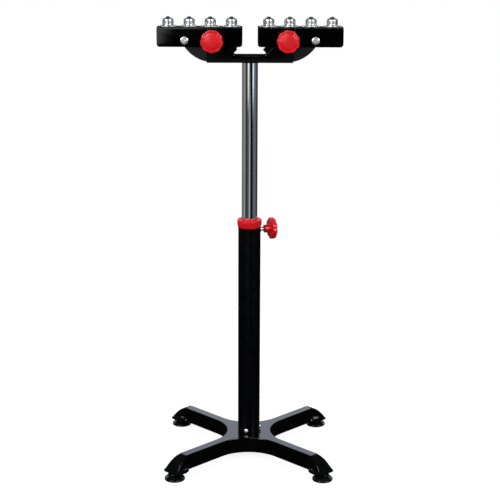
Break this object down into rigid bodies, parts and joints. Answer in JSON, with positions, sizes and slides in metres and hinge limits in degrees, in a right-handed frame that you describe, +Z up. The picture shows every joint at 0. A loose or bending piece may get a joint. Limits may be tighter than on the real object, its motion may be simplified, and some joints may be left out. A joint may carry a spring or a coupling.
{
  "type": "roller stand",
  "caption": "Roller stand: tilting channel arms with ball rollers, on a telescopic column clamped by a lobed knob, on a cast cross base with levelling feet.",
  "frame": {"origin": "on the floor under the column's axis", "axes": "+Z up along the column, +X along the arms, to the right seen from the side of the arms' knobs, +Y away from that side"},
  "size_m": [0.4, 0.3752, 1],
  "materials": {
    "base_paint": "cast iron with glossy black paint",
    "tube_paint": "satin black paint on steel tube",
    "head_paint": "semi-gloss black paint on steel sheet",
    "foot_plastic": "moulded black plastic",
    "red_plastic": "glossy red plastic",
    "guide_plastic": "black sliding plastic",
    "chrome": "chrome plating on steel tube",
    "zinc": "zinc-plated steel",
    "bright_zinc": "bright zinc-plated pressed steel",
    "ball_steel": "polished bearing steel"
  },
  "bodies": {
    "base": {"base_cross": "base_paint", "outer_tube": "tube_paint", "foot_screw_1": "zinc", "foot_screw_2": "zinc", "foot_screw_3": "zinc", "collar": "red_plastic", "clamp_nut": "zinc"},
    "column": {"inner_tube": "chrome", "inner_guide": "guide_plastic", "head_plug": "zinc", "head_bolt": "zinc", "head_bracket": "head_paint", "wing_left_front": "head_paint", "wing_left_back": "head_paint", "wing_right_front": "head_paint", "wing_right_back": "head_paint", "pivot_sleeve_left": "zinc", "pivot_sleeve_right": "zinc"},
    "arm_left": {"arm_channel_left": "head_paint", "pivot_bolt_left": "zinc", "pivot_washer_left": "zinc", "stop_bolt_left": "zinc", "stop_nut_left": "zinc", "stop_sleeve_left": "zinc", "ball_cup_left_1": "bright_zinc", "ball_cup_left_2": "bright_zinc", "ball_cup_left_3": "bright_zinc", "ball_cup_left_4": "bright_zinc"},
    "arm_right": {"arm_channel_right": "head_paint", "pivot_bolt_right": "zinc", "pivot_washer_right": "zinc", "stop_bolt_right": "zinc", "stop_nut_right": "zinc", "stop_sleeve_right": "zinc", "ball_cup_right_1": "bright_zinc", "ball_cup_right_2": "bright_zinc", "ball_cup_right_3": "bright_zinc", "ball_cup_right_4": "bright_zinc"},
    "clamp": {"clamp_knob": "red_plastic", "clamp_screw": "zinc"},
    "knob_left": {"pivot_knob_left": "red_plastic"},
    "knob_right": {"pivot_knob_right": "red_plastic"},
    "roller_left_1": {"ball_left_1": "ball_steel"},
    "roller_left_2": {"ball_left_2": "ball_steel"},
    "roller_left_3": {"ball_left_3": "ball_steel"},
    "roller_left_4": {"ball_left_4": "ball_steel"},
    "roller_right_1": {"ball_right_1": "ball_steel"},
    "roller_right_2": {"ball_right_2": "ball_steel"},
    "roller_right_3": {"ball_right_3": "ball_steel"},
    "roller_right_4": {"ball_right_4": "ball_steel"},
    "foot_front_left": {"foot_pad_front_left": "foot_plastic", "foot_stem_front_left": "zinc"},
    "foot_front_right": {"foot_pad_front_right": "foot_plastic", "foot_stem_front_right": "zinc"},
    "foot_back_left": {"foot_pad_back_left": "foot_plastic", "foot_stem_back_left": "zinc"},
    "foot_back_right": {"foot_pad_back_right": "foot_plastic", "foot_stem_back_right": "zinc"}
  },
  "joints": [
    {"name": "column_slide", "type": "slide", "parent": "base", "child": "column", "axis": [0, 0, 1], "range_m": [-0.338, 0.045]},
    {"name": "arm_tilt_left", "type": "hinge", "parent": "column", "child": "arm_left", "pos_m": [-0.0815, 0, 0.95], "axis": [0, 1, 0], "range_deg": [0, 45]},
    {"name": "arm_tilt_right", "type": "hinge", "parent": "column", "child": "arm_right", "pos_m": [0.0815, 0, 0.95], "axis": [0, -1, 0], "range_deg": [0, 45]},
    {"name": "clamp_turn", "type": "hinge", "parent": "base", "child": "clamp", "pos_m": [0, 0, 0.528], "axis": [0.9397, 0.342, 0], "continuous": true},
    {"name": "knob_turn_left", "type": "hinge", "parent": "arm_left", "child": "knob_left", "pos_m": [-0.0815, -0.03, 0.95], "axis": [0, -1, 0], "continuous": true},
    {"name": "knob_turn_right", "type": "hinge", "parent": "arm_right", "child": "knob_right", "pos_m": [0.0815, -0.03, 0.95], "axis": [0, -1, 0], "continuous": true},
    {"name": "ball_roll_left_1", "type": "hinge", "parent": "arm_left", "child": "roller_left_1", "pos_m": [-0.04, 0, 0.99205], "axis": [1, 0, 0], "continuous": true},
    {"name": "ball_roll_left_2", "type": "hinge", "parent": "arm_left", "child": "roller_left_2", "pos_m": [-0.0855, 0, 0.99205], "axis": [1, 0, 0], "continuous": true},
    {"name": "ball_roll_left_3", "type": "hinge", "parent": "arm_left", "child": "roller_left_3", "pos_m": [-0.131, 0, 0.99205], "axis": [1, 0, 0], "continuous": true},
    {"name": "ball_roll_left_4", "type": "hinge", "parent": "arm_left", "child": "roller_left_4", "pos_m": [-0.1765, 0, 0.99205], "axis": [1, 0, 0], "continuous": true},
    {"name": "ball_roll_right_1", "type": "hinge", "parent": "arm_right", "child": "roller_right_1", "pos_m": [0.04, 0, 0.99205], "axis": [1, 0, 0], "continuous": true},
    {"name": "ball_roll_right_2", "type": "hinge", "parent": "arm_right", "child": "roller_right_2", "pos_m": [0.0855, 0, 0.99205], "axis": [1, 0, 0], "continuous": true},
    {"name": "ball_roll_right_3", "type": "hinge", "parent": "arm_right", "child": "roller_right_3", "pos_m": [0.131, 0, 0.99205], "axis": [1, 0, 0], "continuous": true},
    {"name": "ball_roll_right_4", "type": "hinge", "parent": "arm_right", "child": "roller_right_4", "pos_m": [0.1765, 0, 0.99205], "axis": [1, 0, 0], "continuous": true},
    {"name": "foot_screw_front_left", "type": "slide", "parent": "base", "child": "foot_front_left", "axis": [0, 0, -1], "range_m": [0, 0.004]},
    {"name": "foot_screw_front_right", "type": "slide", "parent": "base", "child": "foot_front_right", "axis": [0, 0, -1], "range_m": [0, 0.004]},
    {"name": "foot_screw_back_left", "type": "slide", "parent": "base", "child": "foot_back_left", "axis": [0, 0, -1], "range_m": [0, 0.004]},
    {"name": "foot_screw_back_right", "type": "slide", "parent": "base", "child": "foot_back_right", "axis": [0, 0, -1], "range_m": [0, 0.004]}
  ]
}
